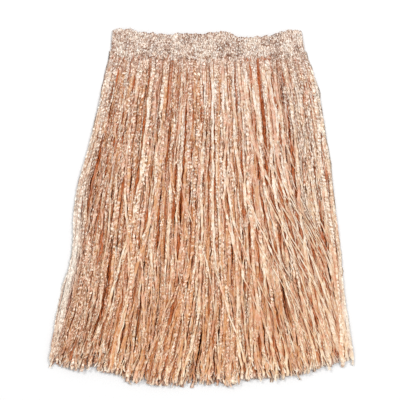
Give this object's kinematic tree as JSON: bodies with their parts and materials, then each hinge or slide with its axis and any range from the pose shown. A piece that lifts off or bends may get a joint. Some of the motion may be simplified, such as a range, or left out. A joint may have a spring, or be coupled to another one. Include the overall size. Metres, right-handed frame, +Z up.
{
  "type": "grass skirt",
  "caption": "Hula-style grass skirt laid flat: a gathered knitted raffia waistband with a long, thick fringe of crinkled straw-coloured ribbon spreading to a blunt hem.",
  "frame": {"origin": "middle of the skirt's bounding box, on the surface that it lies on", "axes": "+Y from the hem towards the waist, +Z up off the surface, +X towards the right of the picture"},
  "size_m": [0.6031, 0.7014, 0.021],
  "materials": {
    "knitted_band": "pale peach plastic raffia, knitted and gathered on elastic, satin with small bright crinkles",
    "raffia_ribbon": "peach to tan crinkled plastic raffia ribbon, glossy, folded lengthwise, a little translucent"
  },
  "bodies": {
    "root": {"waistband_back": "knitted_band", "waistband_front": "knitted_band", "fringe_back_01": "raffia_ribbon", "fringe_back_02": "raffia_ribbon", "fringe_back_03": "raffia_ribbon", "fringe_back_04": "raffia_ribbon", "fringe_back_05": "raffia_ribbon", "fringe_back_06": "raffia_ribbon", "fringe_back_07": "raffia_ribbon", "fringe_back_08": "raffia_ribbon", "fringe_back_09": "raffia_ribbon", "fringe_back_10": "raffia_ribbon", "fringe_back_11": "raffia_ribbon", "fringe_back_12": "raffia_ribbon", "fringe_back_13": "raffia_ribbon", "fringe_back_14": "raffia_ribbon", "fringe_back_15": "raffia_ribbon", "fringe_back_16": "raffia_ribbon", "fringe_back_17": "raffia_ribbon", "fringe_back_18": "raffia_ribbon", "fringe_front_01": "raffia_ribbon", "fringe_front_02": "raffia_ribbon", "fringe_front_03": "raffia_ribbon", "fringe_front_04": "raffia_ribbon", "fringe_front_05": "raffia_ribbon", "fringe_front_06": "raffia_ribbon", "fringe_front_07": "raffia_ribbon", "fringe_front_08": "raffia_ribbon", "fringe_front_09": "raffia_ribbon", "fringe_front_10": "raffia_ribbon", "fringe_front_11": "raffia_ribbon", "fringe_front_12": "raffia_ribbon", "fringe_front_13": "raffia_ribbon", "fringe_front_14": "raffia_ribbon", "fringe_front_15": "raffia_ribbon", "fringe_front_16": "raffia_ribbon", "fringe_front_17": "raffia_ribbon", "fringe_front_18": "raffia_ribbon"}
  },
  "joints": []
}
